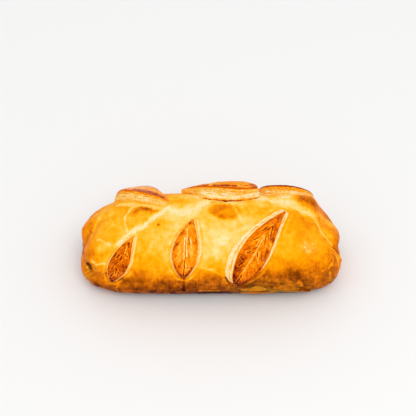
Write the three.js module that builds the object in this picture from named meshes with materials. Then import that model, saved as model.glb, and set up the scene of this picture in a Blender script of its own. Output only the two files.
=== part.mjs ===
// A beef wellington: a log of meat wrapped in puff pastry and baked, with six pastry leaves on it.
// Millimetres, +Z up. X runs along the loaf, -Y is its front. The origin is under its middle, on the
// surface that it stands on. The loaf is one solid, and so is each leaf.
//
// A place on the pastry is given as (x, s): x along the loaf, and s along the skin from the top ridge,
// positive down the front and negative down the back.
import * as THREE from "three";
import { mergeVertices } from "three/addons/utils/BufferGeometryUtils.js";

// ---------------------------------------------------------------- driving dimensions

const LOAF = {
  halfLength: 113,
  halfWidth: 44,
  waist: 27, // height of the widest level above the base
  crown: 38.5, // from the waist up to the ridge
  belly: 30.5, // from the waist down, before the base is pressed flat
  crownSquareness: 2.3, // exponents of the section: 2 is an ellipse, more is squarer
  bellySquareness: 3.6,
  ridgeBluntness: 2.6, // exponents of the ends: more is blunter
  baseBluntness: 5.2,
};
const LOAF_GRID = [46, 20, 16]; // cells along X, Y and Z

// Places where the pastry has puffed, as bumps on the skin.
const SWELLINGS = [
  { x: 78, s: 36, reachX: 20, reachS: 20, rise: 1.2 },
  { x: 7, s: 1, reachX: 17, reachS: 12, rise: 1.5 },
  { x: 74, s: -28, reachX: 15, reachS: 13, rise: 3.6 },
  { x: 88, s: -27, reachX: 10, reachS: 12, rise: 4.9 },
  { x: 107, s: -20, reachX: 9, reachS: 20, rise: -0.9 },
  { x: -36, s: -22, reachX: 14, reachS: 14, rise: 1.2 },
  { x: -50, s: 38, reachX: 15, reachS: 22, rise: 1.0 },
  { x: -58, s: -1, reachX: 13, reachS: 9, rise: 1.2 },
  { x: 4, s: 62, reachX: 24, reachS: 12, rise: 1.2 },
  { x: -62, s: 74, reachX: 26, reachS: 10, rise: 1.0 },
  { x: 44, s: -74, reachX: 30, reachS: 16, rise: 1.4 },
  { x: -34, s: -78, reachX: 34, reachS: 15, rise: 1.6 },
  { x: -88, s: -52, reachX: 16, reachS: 20, rise: 1.0 },
];

// Wide splits where the browned skin has torn and left a shallow pale channel.
const SPLITS = [
  { width: 4.6, depth: 1.3, path: [[-36, -6], [-47, 3], [-57, 12], [-67, 17], [-78, 26]] },
  { width: 6.0, depth: 1.2, path: [[-36, -4], [-24, 0], [-12, -6], [-3, -12]] },
  { width: 6.0, depth: 1.2, path: [[52, -18], [68, -12], [78, -8.5], [88, -6.5]] },
  { width: 4.0, depth: 1.0, path: [[88, -6.5], [91, -1], [96, 9.5], [103, 16], [106, 19]] },
  { width: 4.0, depth: 1.2, path: [[-14, -70], [8, -64], [30, -58], [52, -66]] },
];

// Edges of pastry that overlap along the foot of the loaf, and stand out as low ridges.
const SEAMS = [
  { width: 5, rise: 1.6, path: [[34, 77], [58, 74], [84, 72]] },
  { width: 5, rise: 1.3, path: [[70, 59], [76, 65]] },
  { width: 6, rise: 1.5, path: [[-80, -76], [-20, -80], [56, -78]] },
];

// The folded ends, as they look from outside along X: [y, z] places on the end's face. Each fold is a
// crease between two puffed flaps.
const END_FACE = { starts: 84, full: 104 }; // |x| where the folds begin to show, and where they are full
const CREASE = { width: 6, depth: 2.4 };
const ENDS = [
  {
    side: 1,
    creases: [
      [[6, 58], [-7, 52], [-17, 43], [-17, 35], [-7, 28], [8, 24], [40, 27]],
      [[16, 58], [26, 46], [22, 36], [8, 24]],
    ],
    flaps: [
      { y: 4, z: 36, reach: 11, rise: 1.2 },
      { y: 14, z: 53, reach: 16, rise: -4.6 },
      { y: -20, z: 22, reach: 11, rise: 0.9 },
      { y: 20, z: 14, reach: 13, rise: 1.2 },
    ],
  },
  {
    side: -1,
    creases: [
      [[6, 58], [-3, 48], [-11, 39], [-12, 31], [-22, 26], [-44, 24]],
      [[14, 58], [24, 46], [18, 34], [4, 30], [-12, 31]],
    ],
    flaps: [
      { y: 5, z: 38, reach: 9, rise: 2.6 },
      { y: -22, z: 14, reach: 11, rise: 1.6 },
      { y: 20, z: 17, reach: 14, rise: 1.8 },
    ],
  },
];

const LEAF_GAP = 0.5; // keeps a leaf's underside clear of the loaf
const LEAF_STATION = 5; // spacing of the sections along a leaf
const LEAF_ENDS = [0.012, 0.985]; // its blunt stalk end and tip, as shares of the way
const LEAF_POINTEDNESS = 1.15;
const LEAF_DOME = 0.9;
const LEAST_HALF_WIDTH = 0.5; // at the blunt ends
const TOE_REACH = 0.2; // share of the way over which the foot draws out beyond an end
const FLARE_GROWTH = 1.2; // how fast the narrow ends' foot grows to its full flare, with the leaf's width
const MIDRIB = { halfWidth: 1.3, depth: 0.9 };

// Each leaf runs from its stalk end to its tip, on (x, s). Its left and right are as seen from outside with
// the tip up. bow bends its middle to the right, and widest is where it is widest, as a share of the way.
// left, right and toe are how far its foot stands out beyond its browned top, each at the stalk end and at
// the tip: to the sides, and beyond the end itself. kept is how much of that its narrow stalk end and tip
// keep, and ends is their height, as shares. heel is how far its lower layers step out further on the left,
// from nothing at the stalk end to all of it at HEEL_ENDS[0] of the way, and they stop at HEEL_ENDS[1].
const HEEL_ENDS = [0.7, 0.78];
const HEEL_LAYER = 0.5; // height of those lower layers, as a share of the leaf's height
const LEAVES = [
  {
    name: "leaf_front_left",
    stalk: [-85, 60],
    tip: [-66, 22],
    width: 15.6,
    height: 3.2,
    bow: -1.2,
    left: [2.0, 1.8],
    right: [2.4, 3.8],
    kept: [0.45, 0.85],
    toe: [1.0, 2.0],
    widest: 0.43,
    ends: [0.3, 0.3],
    heel: 0,
  },
  {
    name: "leaf_front_middle",
    stalk: [-23.6, 62.3],
    tip: [-15.6, 8.2],
    width: 19.8,
    height: 3.6,
    bow: -2.0,
    left: [2.2, 1.8],
    right: [1.8, 5.4],
    kept: [0.45, 0.85],
    toe: [1.0, 2.0],
    widest: 0.43,
    ends: [0.3, 0.3],
    heel: 0,
  },
  {
    name: "leaf_front_right",
    stalk: [20.5, 69],
    tip: [64, -3.8],
    width: 21,
    height: 4.2,
    bow: -2.2,
    left: [7.4, 5.4],
    right: [2.2, 3.0],
    kept: [0.45, 0.85],
    toe: [1.0, 3.0],
    widest: 0.36,
    ends: [0.3, 0.3],
    heel: 0,
  },
  {
    name: "leaf_back_left",
    stalk: [-84, -51.5],
    tip: [-36.5, -11.5],
    width: 15.6,
    height: 9.1,
    bow: 1.1,
    left: [3.4, 1.6],
    right: [5.6, 4.6],
    kept: [0.45, 0.85],
    toe: [0, 0],
    widest: 0.38,
    ends: [0.56, 0.2],
    heel: 0,
  },
  {
    name: "leaf_back_middle",
    stalk: [41, -30],
    tip: [-27, -35],
    width: 21.5,
    height: 10.6,
    bow: -1.0,
    left: [2.0, 4.4],
    right: [4.0, 4.0],
    kept: [0.45, 0.05],
    toe: [3.0, 0],
    widest: 0.28,
    ends: [0.45, 0.22],
    heel: 6.5,
  },
  {
    name: "leaf_back_right",
    stalk: [38, -53.5],
    tip: [89, -34],
    width: 19,
    height: 8.9,
    bow: 2.0,
    left: [4.0, 4.0],
    right: [1.4, 2.0],
    kept: [0, 0.5],
    toe: [0, 0],
    widest: 0.45,
    ends: [0.15, 0.25],
    heel: 0,
  },
];

const CRUST = new THREE.MeshStandardMaterial({ color: 0xe9a032, roughness: 0.5, metalness: 0 });
const LEAF_CRUST = new THREE.MeshStandardMaterial({ color: 0xcf7a22, roughness: 0.5, metalness: 0 });

// ---------------------------------------------------------------- small helpers

const smoothstep = (from, to, value) => THREE.MathUtils.smoothstep(value, from, to);
const bell = (distance, reach) => Math.exp(-((distance / reach) ** 2));

// Distance from a place to a path through the same two coordinates.
function distanceToPath(place, path) {
  let nearest = Infinity;
  for (let i = 1; i < path.length; i++) {
    const start = new THREE.Vector2(...path[i - 1]);
    const along = new THREE.Vector2(...path[i]).sub(start);
    const offset = place.clone().sub(start);
    const share = THREE.MathUtils.clamp(offset.dot(along) / along.lengthSq(), 0, 1);
    nearest = Math.min(nearest, offset.sub(along.multiplyScalar(share)).length());
  }
  return nearest;
}

// ---------------------------------------------------------------- the loaf's plain form

// The turn of a point about the loaf's long axis: 0 at the ridge, a quarter turn at the front.
const turnOf = (p) => Math.atan2(-p.y, p.z - LOAF.waist);

function sectionRadius(turn) {
  const above = Math.cos(turn) >= 0;
  const squareness = above ? LOAF.crownSquareness : LOAF.bellySquareness;
  const height = above ? LOAF.crown : LOAF.belly;
  const sideways = Math.abs(Math.sin(turn)) / LOAF.halfWidth;
  const upwards = Math.abs(Math.cos(turn)) / height;
  return (sideways ** squareness + upwards ** squareness) ** (-1 / squareness);
}

const bluntness = (turn) =>
  THREE.MathUtils.lerp(LOAF.baseBluntness, LOAF.ridgeBluntness, smoothstep(-1, 1, Math.cos(turn)));

// The point of the plain form at x, seen from the axis in the direction of turn.
function plainPoint(x, turn) {
  const p = bluntness(turn);
  const share = Math.min(Math.abs(x) / LOAF.halfLength, 1);
  const r = sectionRadius(turn) * (1 - share ** p) ** (1 / p);
  return new THREE.Vector3(x, -r * Math.sin(turn), LOAF.waist + r * Math.cos(turn));
}

// 1 on the plain form, less inside and more outside.
function level(point) {
  const turn = turnOf(point);
  const r = Math.hypot(point.y, point.z - LOAF.waist);
  const p = bluntness(turn);
  return (r / sectionRadius(turn)) ** p + (Math.abs(point.x) / LOAF.halfLength) ** p;
}

// The point of the plain form on the line from the loaf's centre through another point.
function plainTowards(point) {
  const turn = turnOf(point);
  const scale = level(point) ** (-1 / bluntness(turn));
  return new THREE.Vector3(
    point.x * scale,
    point.y * scale,
    LOAF.waist + (point.z - LOAF.waist) * scale,
  );
}

const NORMAL_STEP = 0.5;
function normalAt(point) {
  const slope = (axis) => {
    const ahead = point.clone();
    const behind = point.clone();
    ahead[axis] += NORMAL_STEP;
    behind[axis] -= NORMAL_STEP;
    return level(ahead) - level(behind);
  };
  return new THREE.Vector3(slope("x"), slope("y"), slope("z")).normalize();
}

const ARC_STEPS = 60;

// Length along the skin from the ridge to a turn, in the section at x.
function skinLength(x, turn) {
  let length = 0;
  let last = plainPoint(x, 0);
  for (let i = 1; i <= ARC_STEPS; i++) {
    const next = plainPoint(x, (turn * i) / ARC_STEPS);
    length += next.distanceTo(last);
    last = next;
  }
  return Math.sign(turn) * length;
}

// The turn at which the skin, followed from the ridge, has reached length s.
function turnAt(x, s) {
  const step = (Math.sign(s) * Math.PI) / (3 * ARC_STEPS);
  let left = Math.abs(s);
  let turn = 0;
  let last = plainPoint(x, 0);
  for (;;) {
    const next = plainPoint(x, turn + step);
    const moved = next.distanceTo(last);
    if (moved >= left || Math.abs(turn) > Math.PI) return turn + (step * left) / Math.max(moved, 1e-9);
    left -= moved;
    turn += step;
    last = next;
  }
}

// ---------------------------------------------------------------- relief on the loaf

function endFolds(point) {
  const share = smoothstep(END_FACE.starts, END_FACE.full, Math.abs(point.x));
  if (share === 0) return 0;
  const place = new THREE.Vector2(point.y, point.z);
  const end = ENDS.find(({ side }) => side === Math.sign(point.x));
  const nearest = Math.min(...end.creases.map((path) => distanceToPath(place, path)));
  let rise = -CREASE.depth * bell(nearest, CREASE.width);
  for (const { y, z, reach, rise: height } of end.flaps) {
    rise += height * bell(Math.hypot(place.x - y, place.y - z), reach);
  }
  return share * rise;
}

// 1 well away from the leaves and 0 under them, so that each leaf lies on smooth pastry.
function clearOfLeaves(place) {
  let share = 1;
  for (const { stalk, tip, width } of LEAVES) {
    const reach = width / 2;
    share = Math.min(share, smoothstep(reach, reach + 6, distanceToPath(place, [stalk, tip])));
  }
  return share;
}

// How far the skin stands above the plain form.
function relief(point) {
  const place = new THREE.Vector2(point.x, skinLength(point.x, turnOf(point)));
  let rise = 0;
  for (const { x, s, reachX, reachS, rise: height } of SWELLINGS) {
    rise += height * bell(place.x - x, reachX) * bell(place.y - s, reachS);
  }
  for (const { width, rise: height, path } of SEAMS) {
    rise += height * bell(distanceToPath(place, path), width / 2);
  }
  let split = 0;
  for (const { width, depth, path } of SPLITS) {
    split = Math.max(split, depth * bell(distanceToPath(place, path), width / 2));
  }
  return rise + endFolds(point) - split * clearOfLeaves(place);
}

const skinPoint = (plain, lift = 0) => plain.clone().addScaledVector(normalAt(plain), relief(plain) + lift);

// ---------------------------------------------------------------- the two kinds of solid

function positionOnly(geometry) {
  geometry.deleteAttribute("normal");
  geometry.deleteAttribute("uv");
  return mergeVertices(geometry, 1e-3);
}

// A box of small cells, blown out to the loaf's form and pressed flat where it rests.
function loafGeometry() {
  const height = LOAF.crown + LOAF.belly;
  const box = new THREE.BoxGeometry(2 * LOAF.halfLength, 2 * LOAF.halfWidth, height, ...LOAF_GRID);
  box.translate(0, 0, LOAF.waist);
  const geometry = positionOnly(box);
  const position = geometry.attributes.position;
  const point = new THREE.Vector3();
  for (let i = 0; i < position.count; i++) {
    point.fromBufferAttribute(position, i);
    const skin = skinPoint(plainTowards(point));
    position.setXYZ(i, skin.x, skin.y, Math.max(skin.z, 0));
  }
  return geometry;
}

// 0 at a leaf's stalk end and at its tip (t of 0 and 1), and 1 where it is widest.
const arched = (t, widest) => Math.sin(Math.PI * t ** (Math.log(0.5) / Math.log(widest)));

// Share of a leaf's full width: pointed at both ends.
const fullness = (t, widest) => arched(t, widest) ** LEAF_POINTEDNESS;

// One wall of a leaf from its foot up, as [share of the flare kept, share of the height]: three
// layers of pastry, each set back from the one below.
const WALL_LAYERS = [[1, 0], [0.92, 0.3], [0.6, 0.36], [0.52, 0.64], [0.22, 0.7], [0, 1]];
const TOP_SHARES = [-0.8, -0.5, -0.25, 0, 0.25, 0.5, 0.8];
const FOOT_SHARES = [0.7, 0.35, 0, -0.35, -0.7];

// How far the leaf's foot runs on beyond its top at share t of the way, along the leaf.
function toeAt({ toe: [stalk, tip] }, t) {
  return tip * smoothstep(1 - TOE_REACH, 1, t) - stalk * (1 - smoothstep(0, TOE_REACH, t));
}

// The leaf's section at share t of the way, as [across, height, how far ahead] all the way round.
function leafSection(leaf, t) {
  const { lerp } = THREE.MathUtils;
  const f = fullness(t, leaf.widest);
  const half = (leaf.width / 2) * f + LEAST_HALF_WIDTH;
  const height = leaf.height * lerp(lerp(...leaf.ends, t), 1, Math.sqrt(f));
  const kept = Math.min(1, lerp(...leaf.kept, t) + FLARE_GROWTH * f);
  const left = lerp(...leaf.left, t) * kept;
  const right = lerp(...leaf.right, t) * kept;
  const ahead = toeAt(leaf, t);
  const [full, gone] = HEEL_ENDS;
  const heel = leaf.heel * smoothstep(0, full, t) * (1 - smoothstep(full, gone, t));
  const wall = (sign, flare, step) =>
    WALL_LAYERS.map(([out, up]) => {
      const lower = Math.max(0, 1 - up / HEEL_LAYER);
      return [sign * (half + flare * out + step * lower), height * up, ahead * out];
    });
  const top = TOP_SHARES.map((share) => {
    const across = share * half;
    const rib = MIDRIB.depth * bell(across, MIDRIB.halfWidth);
    return [across, height + (LEAF_DOME * (1 - share ** 2) - rib) * f, 0];
  });
  const foot = FOOT_SHARES.map((share) => [share * (half + (share > 0 ? right : left + heel)), 0, ahead]);
  return [...wall(-1, left, heel), ...top, ...wall(1, right, 0).reverse(), ...foot];
}

function leafGeometry(leaf) {
  const stalk = new THREE.Vector2(...leaf.stalk);
  const along = new THREE.Vector2(...leaf.tip).sub(stalk);
  const sideways = new THREE.Vector2(-along.y, along.x).normalize();
  const length = along.length();
  const stations = Math.round(length / LEAF_STATION);
  const vertices = [];
  const triangles = [];
  let ring = 0;
  for (let i = 0; i <= stations; i++) {
    const t = THREE.MathUtils.lerp(...LEAF_ENDS, i / stations);
    const section = leafSection(leaf, t);
    ring = section.length;
    for (const [across, height, ahead] of section) {
      const offset = across + leaf.bow * arched(t, leaf.widest);
      const place = stalk.clone().addScaledVector(along, t + ahead / length);
      place.addScaledVector(sideways, offset);
      const plain = plainPoint(place.x, turnAt(place.x, place.y));
      vertices.push(...skinPoint(plain, LEAF_GAP + height));
    }
  }
  for (let i = 0; i < stations; i++) {
    for (let j = 0; j < ring; j++) {
      const [a, b] = [i * ring + j, i * ring + ((j + 1) % ring)];
      triangles.push(a, b, a + ring, b, b + ring, a + ring);
    }
  }
  const last = stations * ring;
  const face = leafSection(leaf, leaf.widest).map(([across, height]) => new THREE.Vector2(across, height));
  for (const [a, b, c] of THREE.ShapeUtils.triangulateShape(face, [])) {
    triangles.push(a, b, c, last + a, last + c, last + b);
  }
  const geometry = new THREE.BufferGeometry();
  geometry.setAttribute("position", new THREE.Float32BufferAttribute(vertices, 3));
  geometry.setIndex(triangles);
  return geometry;
}

// ---------------------------------------------------------------- assembly

function namedMesh(name, geometry, material) {
  geometry.computeVertexNormals();
  const mesh = new THREE.Mesh(geometry, material);
  mesh.name = name;
  return mesh;
}

const wellington = new THREE.Group();
wellington.add(namedMesh("loaf", loafGeometry(), CRUST));
for (const leaf of LEAVES) wellington.add(namedMesh(leaf.name, leafGeometry(leaf), LEAF_CRUST));

export default wellington;
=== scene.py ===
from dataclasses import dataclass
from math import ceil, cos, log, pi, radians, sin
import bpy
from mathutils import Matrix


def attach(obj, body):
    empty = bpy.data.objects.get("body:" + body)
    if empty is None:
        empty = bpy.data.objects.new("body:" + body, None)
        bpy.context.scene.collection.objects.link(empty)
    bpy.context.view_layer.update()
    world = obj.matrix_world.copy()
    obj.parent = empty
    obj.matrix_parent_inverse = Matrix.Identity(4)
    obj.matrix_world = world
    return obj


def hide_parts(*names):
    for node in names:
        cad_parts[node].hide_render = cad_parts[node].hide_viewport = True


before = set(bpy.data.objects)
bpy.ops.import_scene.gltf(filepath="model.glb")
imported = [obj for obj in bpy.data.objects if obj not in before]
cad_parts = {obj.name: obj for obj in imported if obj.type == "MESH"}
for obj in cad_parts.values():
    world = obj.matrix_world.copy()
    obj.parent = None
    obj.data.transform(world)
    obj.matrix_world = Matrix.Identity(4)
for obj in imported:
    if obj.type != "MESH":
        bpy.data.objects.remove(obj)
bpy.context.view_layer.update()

# The looks of a beef wellington: the browned, glazed puff pastry of the loaf and of the six leaves on it.
# Lengths are millimetres up to the meshes, which are metres. A place on the skin is (x, s): x along the
# loaf, and s along the skin from the top ridge, positive down the front and negative down the back.
from types import SimpleNamespace

import bpy
import numpy as np
from mathutils import Vector

MM = 0.001

# ------------ the plain form, as in the CAD part

HALF_LENGTH = 113
HALF_WIDTH = 44
WAIST = 27
CROWN = 38.5
BELLY = 30.5
CROWN_SQUARENESS = 2.3
BELLY_SQUARENESS = 3.6
RIDGE_BLUNTNESS = 2.6
BASE_BLUNTNESS = 5.2

LOAF_CELLS = (230, 96, 72)

# (x, s, reach along x, reach along s, rise)
SWELLINGS = (
    (78, 36, 20, 20, 1.2), (7, 1, 17, 12, 1.5), (74, -28, 15, 13, 3.6), (88, -27, 10, 12, 4.9),
    (107, -20, 9, 20, -0.9), (-36, -22, 14, 14, 1.2), (-50, 38, 15, 22, 1), (-58, -1, 13, 9, 1.2),
    (4, 62, 24, 12, 1.2), (-62, 74, 26, 10, 1), (44, -74, 30, 16, 1.4), (-34, -78, 34, 15, 1.6),
    (-88, -52, 16, 20, 1),
)

# Torn lines in the browned skin: (width, depth, how pale, path)
CRACKS = (
    (5.4, 1.3, 1, ((-36, -6), (-47, 3), (-57, 12), (-67, 17), (-78, 26))),
    (6, 1.2, 1, ((-36, -4), (-24, 0), (-12, -6), (-3, -12))),
    (6, 1.2, 0.85, ((52, -18), (68, -12), (78, -8.5), (88, -6.5))),
    (2.8, 1, 0.65, ((88, -6.5), (91, -1), (96, 9.5), (103, 16), (106, 19))),
    (4, 1.2, 0.6, ((-14, -70), (8, -64), (30, -58), (52, -66))),
    (1.9, 0.5, 0.75, ((-60, -12), (-69, -9), (-73, 0), (-73.5, 8), (-71, 16))),
    (1.5, 0.4, 0.7, ((-97.7, 17.3), (-93.2, 19), (-90, 23), (-85, 26))),
    (2, 0.5, 0.75, ((-102.5, 33), (-99, 37.7), (-91, 40.4))),
    (5, 0.3, 0.6, ((-80, -19), (-68, -14), (-58, -10.5), (-44, -6))),
    (1.8, 0.5, 0.55, ((17, -12), (20, -5), (24, 1), (26, 9))),
    (1.3, 0.2, 0.3, ((-80.5, 62), (-80.5, 70), (-80, 80))),
    (2.2, 0.3, 0.5, ((-9, 51), (0, 54), (7, 57))),
    (1.4, 0.3, 0.35, ((104.5, 28), (101, 39), (95, 45))),
    (1.4, 0.3, 0.4, ((109.3, 24), (109.6, 32))),
    (1.3, 0.3, 0.35, ((102, 45), (103.5, 54))),
    (2, 0.3, 0.4, ((-97, -8), (-102.3, 0), (-103.7, 10))),
    (1.5, 0.3, 0.4, ((8, 31), (15, 34), (20, 37))),
    (2.4, 0.6, 0.5, ((-86, -34), (-74, -44), (-66, -60), (-58, -70))),
    (2, 0.5, 0.45, ((92, -24), (86, -44), (74, -58))),
    (2.2, 0.5, 0.4, ((-20, -52), (-8, -58), (8, -64))),
)

# Small tucks and burnt nicks: (width, rise, change of browning, path). The tucks that rise and get paler have
# a painted highlight along their ridges.
TUCKS = (
    (2.2, -0.9, 0.22, ((104.5, 18.5), (108.5, 18.2), (112, 17.5))),
    (2.4, 0.9, -0.1, ((103, 21), (108.5, 21.2), (112.2, 21))),
    (2, -1.4, 0.75, ((-109, 30.5), (-107, 35.5), (-106.3, 37.5))),
    (1.8, -1.2, 0.7, ((-106.3, 33), (-104.6, 36.5), (-104.2, 40.5))),
    (1.4, -1, 0.6, ((-108.2, 38), (-105.6, 39.5))),
    (1.8, 1, -0.45, ((-108.6, 34.5), (-107.6, 38.5))),
    (1.6, 0.9, -0.4, ((-106.2, 35), (-105.2, 38.5))),
    (2.6, 0.2, 0.2, ((-23, 62), (-23.2, 70), (-23.5, 79))),
    (2.6, 0.3, 0.34, ((-23.5, 77.5), (-23.5, 80.5))),
    (1.6, -0.4, 0.22, ((67, 60), (70, 62.5), (73, 62))),
    (1.2, -0.3, 0.14, ((72.5, 61), (75, 57), (79, 63))),
    (4.2, 0.6, -0.26, ((73, 63), (75.5, 61.5), (77.5, 66))),
    (1.2, -0.2, 0.25, ((94.5, -8), (95.5, -3))),
    (1.2, -0.2, 0.2, ((102, -10), (103, -6))),
    (1.3, -0.5, 0.45, ((-1, -12), (12, -13.8), (26, -17), (40, -23))),
    (1.3, -0.4, 0.55, ((12.6, 61), (14, 66), (17, 72))),
    (2.6, -0.3, 0.45, ((21, 70), (18, 74), (17, 77))),
    (2.6, -0.3, 0.4, ((24, 70), (27, 73), (31, 74))),
)
BUBBLES = ((-100.9, 62.8, 3.3, 0.7),)  # burst blisters: (x, s, radius, rise of the rim)

# (width, rise, path)
SEAMS = (
    (5, 1.6, ((34, 77), (58, 74), (84, 72))),
    (5, 1.3, ((70, 59), (76, 65))),
    (6, 1.5, ((-80, -76), (-20, -80), (56, -78))),
)

END_STARTS = 84
END_FULL = 104
CREASE_WIDTH = 6
CREASE_DEPTH = 2.4
# By side: creases as (y, z) paths on the end's face, and flaps as (y, z, reach, rise)
CREASE_MARK = 3  # reach of the browned line along a crease
ENDS = {
    1: (
        (
            ((6, 58), (-7, 52), (-17, 43), (-17, 35), (-7, 28), (8, 24), (40, 27)),
            ((16, 58), (26, 46), (22, 36), (8, 24)),
        ),
        ((4, 36, 11, 1.2), (14, 53, 16, -4.6), (-20, 22, 11, 0.9), (20, 14, 13, 1.2)),
    ),
    -1: (
        (
            ((6, 58), (-3, 48), (-11, 39), (-12, 31), (-22, 26), (-44, 24)),
            ((14, 58), (24, 46), (18, 34), (4, 30), (-12, 31)),
        ),
        ((5, 38, 9, 2.6), (-22, 14, 11, 1.6), (20, 17, 14, 1.8)),
    ),
}

LEAF_SUNK = 0.3  # how far the leaves are pressed into the skin
LEAF_CLEARANCE = 6  # width of the smooth skin beside a leaf
LEAF_ENDS = (0.012, 0.985)
LEAF_POINTEDNESS = 1.15
LEAF_DOME = 0.9
LEAST_HALF_WIDTH = 0.5
TOE_REACH = 0.2  # share of the way over which the foot draws out beyond an end
FLARE_GROWTH = 1.2  # how fast the narrow ends' foot grows to its full flare, with the leaf's width
MIDRIB_HALF_WIDTH = 1.3
MIDRIB_DEPTH = 0.9


# ------------ small helpers


def smoothstep(low, high, value):
    share = np.clip((value - low) / (high - low), 0, 1)
    return share * share * (3 - 2 * share)


def bell(distance, reach):
    return np.exp(-((distance / reach) ** 2))


def lerp(low, high, share):
    return low + (high - low) * share


class Noise:
    """Smooth gradient noise of about -1 to 1, the same on every run."""

    def __init__(self, seed):
        dice = np.random.default_rng(seed)
        self.order = np.tile(dice.permutation(256), 3)
        slopes = dice.normal(size=(256, 3))
        self.slopes = slopes / np.linalg.norm(slopes, axis=1, keepdims=True)

    def once(self, points):
        cell = np.floor(points).astype(int)
        inside = points - cell
        ease = inside**3 * (inside * (inside * 6 - 15) + 10)
        total = np.zeros(len(points))
        for corner in np.ndindex(2, 2, 2):
            x, y, z = ((cell + corner) & 255).T
            slope = self.slopes[self.order[self.order[self.order[x] + y] + z]]
            weight = np.prod(np.where(corner, ease, 1 - ease), axis=1)
            total += weight * np.sum(slope * (inside - corner), axis=1)
        return 1.7 * total

    def __call__(self, points, size, octaves=1):
        points = np.atleast_2d(points)
        if points.shape[1] == 2:
            points = np.column_stack((points, np.zeros(len(points))))
        total = np.zeros(len(points))
        for octave in range(octaves):
            total += self.once(points / size * 2**octave + 31.7 * octave) / 2**octave
        return total


noise_a = Noise(11)
noise_b = Noise(23)
noise_c = Noise(47)


def distance_to_path(places, path):
    nearest = np.full(len(places), np.inf)
    path = np.array(path, float)
    for start, end in zip(path[:-1], path[1:]):
        along = end - start
        offset = places - start
        share = np.clip(offset @ along / (along @ along), 0, 1)
        nearest = np.minimum(nearest, np.linalg.norm(offset - share[:, None] * along, axis=1))
    return nearest


# ------------ the form


def turn_of(points):
    return np.arctan2(-points[..., 1], points[..., 2] - WAIST)


def section_radius(turn):
    above = np.cos(turn) >= 0
    squareness = np.where(above, CROWN_SQUARENESS, BELLY_SQUARENESS)
    height = np.where(above, CROWN, BELLY)
    sideways = np.abs(np.sin(turn)) / HALF_WIDTH
    upwards = np.abs(np.cos(turn)) / height
    return (sideways**squareness + upwards**squareness) ** (-1 / squareness)


def bluntness(turn):
    return lerp(BASE_BLUNTNESS, RIDGE_BLUNTNESS, smoothstep(-1, 1, np.cos(turn)))


def plain_point(x, turn):
    blunt = bluntness(turn)
    share = np.minimum(np.abs(x) / HALF_LENGTH, 1)
    r = section_radius(turn) * (1 - share**blunt) ** (1 / blunt)
    return np.stack((x + 0 * turn, -r * np.sin(turn), WAIST + r * np.cos(turn)), axis=-1)


def level(points):
    """1 on the plain form, less inside and more outside."""
    turn = turn_of(points)
    r = np.hypot(points[..., 1], points[..., 2] - WAIST)
    blunt = bluntness(turn)
    return (r / section_radius(turn)) ** blunt + (np.abs(points[..., 0]) / HALF_LENGTH) ** blunt


def plain_towards(points):
    """The plain form's points on the lines from the loaf's centre through other points."""
    scale = level(points) ** (-1 / bluntness(turn_of(points)))
    centre = np.array((0, 0, WAIST))
    return centre + (points - centre) * scale[:, None]


def normals_at(points):
    step = 0.5 * np.eye(3)
    slopes = np.stack([level(points + ahead) - level(points - ahead) for ahead in step], axis=-1)
    return slopes / np.linalg.norm(slopes, axis=1, keepdims=True)


# Lengths along the skin from the ridge, in rows of one x and columns of one turn.
TABLE_X = np.linspace(-HALF_LENGTH + 0.1, HALF_LENGTH - 0.1, 453)
TABLE_TURN = np.linspace(-pi, pi, 721)


def length_table():
    points = plain_point(TABLE_X[:, None], TABLE_TURN[None, :])
    steps = np.linalg.norm(np.diff(points, axis=1), axis=2)
    lengths = np.concatenate((np.zeros((len(TABLE_X), 1)), np.cumsum(steps, axis=1)), axis=1)
    return lengths - lengths[:, len(TABLE_TURN) // 2, None]


LENGTHS = length_table()


def cell_of(values, table):
    at = np.clip((values - table[0]) / (table[1] - table[0]), 0, len(table) - 1.001)
    return at.astype(int), at % 1


def skin_length(x, turn):
    i, u = cell_of(x, TABLE_X)
    j, v = cell_of(turn, TABLE_TURN)
    low = lerp(LENGTHS[i, j], LENGTHS[i, j + 1], v)
    high = lerp(LENGTHS[i + 1, j], LENGTHS[i + 1, j + 1], v)
    return lerp(low, high, u)


def turn_at(x, s):
    i, u = cell_of(x, TABLE_X)
    rows = lerp(LENGTHS[i], LENGTHS[i + 1], u[:, None])
    j = np.clip((rows < s[:, None]).sum(axis=1) - 1, 0, len(TABLE_TURN) - 2)
    pick = np.arange(len(j))
    low, high = rows[pick, j], rows[pick, j + 1]
    share = np.clip((s - low) / np.maximum(high - low, 1e-9), 0, 1)
    return lerp(TABLE_TURN[j], TABLE_TURN[j + 1], share)


# ------------ relief that the CAD part has too


def end_folds(points):
    share = smoothstep(END_STARTS, END_FULL, np.abs(points[:, 0]))
    rise = np.zeros(len(points))
    nearest = np.full(len(points), np.inf)
    for side, (creases, flaps) in ENDS.items():
        here = (share > 0) & (np.sign(points[:, 0]) == side)
        place = points[here, 1:]
        crease = np.min([distance_to_path(place, path) for path in creases], axis=0)
        nearest[here] = crease
        rise[here] = -CREASE_DEPTH * bell(crease, CREASE_WIDTH)
        for y, z, reach, height in flaps:
            rise[here] += height * bell(np.hypot(place[:, 0] - y, place[:, 1] - z), reach)
    return share * rise, share * bell(nearest, CREASE_MARK)


def clear_of_leaves(places):
    share = np.ones(len(places))
    for leaf in LEAVES:
        reach = leaf.width / 2
        distance = distance_to_path(places, (leaf.stalk, leaf.tip))
        share = np.minimum(share, smoothstep(reach, reach + LEAF_CLEARANCE, distance))
    return share


def form_relief(points, places):
    """How far the pastry stands above the plain form in swellings, seams and folded ends."""
    rise = np.zeros(len(points))
    for x, s, reach_x, reach_s, height in SWELLINGS:
        rise += height * bell(places[:, 0] - x, reach_x) * bell(places[:, 1] - s, reach_s)
    for width, height, path in SEAMS:
        rise += height * bell(distance_to_path(places, path), width / 2)
    return rise + end_folds(points)[0]


def skin_points(places, lift):
    """Points above the smooth skin at these (x, s) places."""
    plain = plain_point(places[:, 0], turn_at(places[:, 0], places[:, 1]))
    return plain + normals_at(plain) * (form_relief(plain, places) + lift)[:, None]


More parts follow.
